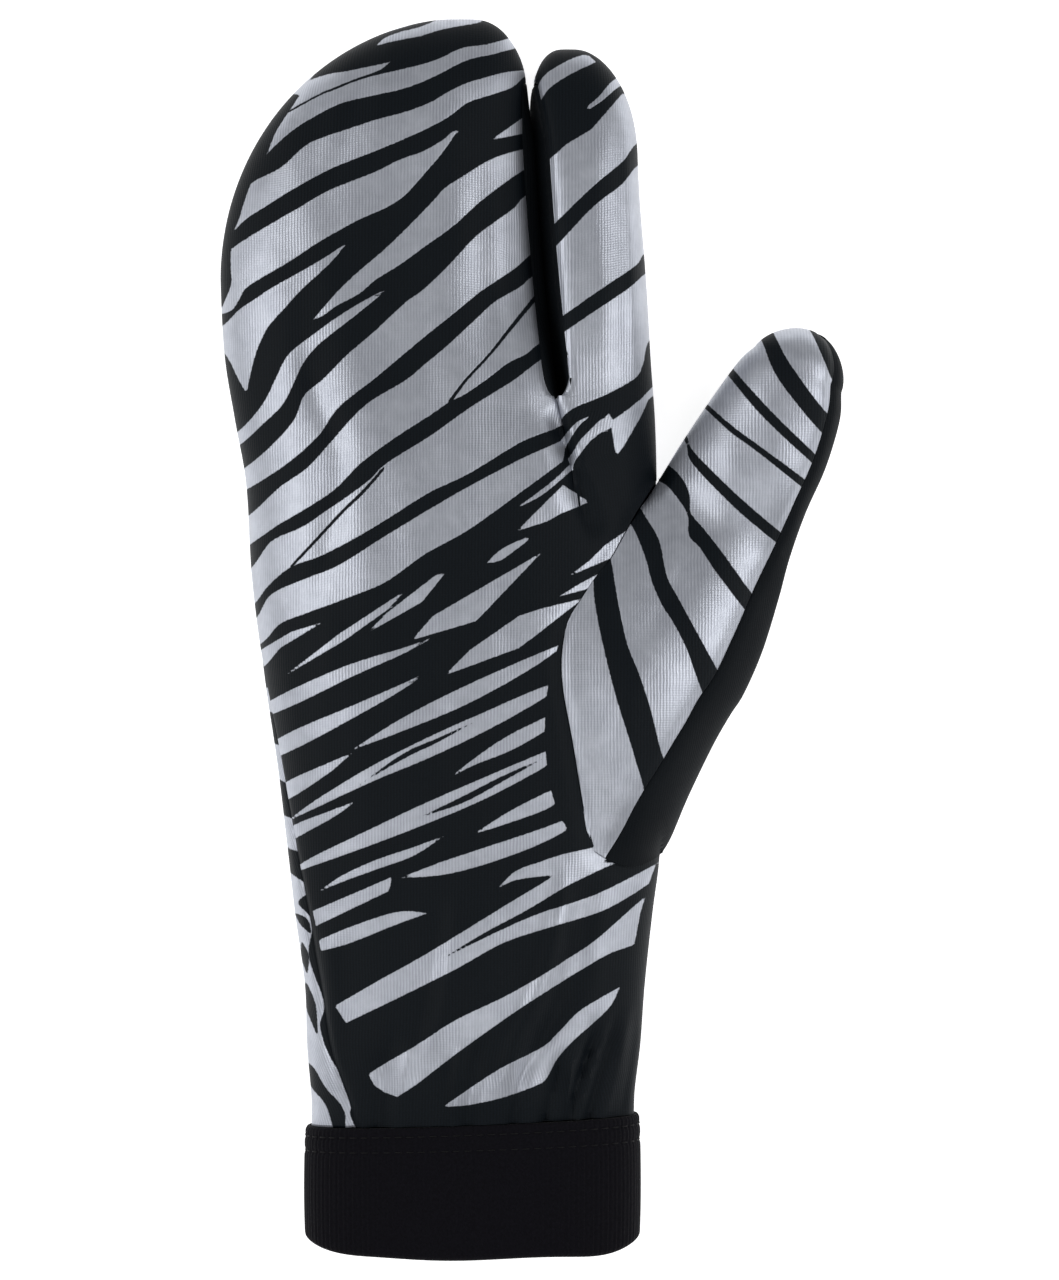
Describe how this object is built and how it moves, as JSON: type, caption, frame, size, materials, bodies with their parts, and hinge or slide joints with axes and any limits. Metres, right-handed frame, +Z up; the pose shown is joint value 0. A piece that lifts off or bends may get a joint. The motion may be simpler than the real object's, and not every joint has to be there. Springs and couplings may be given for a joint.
{
  "type": "trigger mitten",
  "caption": "Right-hand running trigger mitten of black stretch fabric with silver zebra stripes, a separate index finger, a set-in thumb and a knit cuff.",
  "frame": {"origin": "middle of the mitten's outline in plan, on the surface it lies on", "axes": "+X towards the thumb, +Y from the cuff to the fingertips, +Z up out of the palm"},
  "size_m": [0.1408, 0.2798, 0.0387],
  "materials": {
    "printed_fabric": "silver film stripes over black stretch knit",
    "black_fabric": "matt stretch knit",
    "cuff_knit": "matt ribbed knit"
  },
  "bodies": {
    "root": {"palm_panel": "printed_fabric", "back_panel": "printed_fabric", "finger_fourchette": "black_fabric", "thumb_front": "printed_fabric", "thumb_back": "black_fabric", "cuff_band": "cuff_knit"}
  },
  "joints": []
}
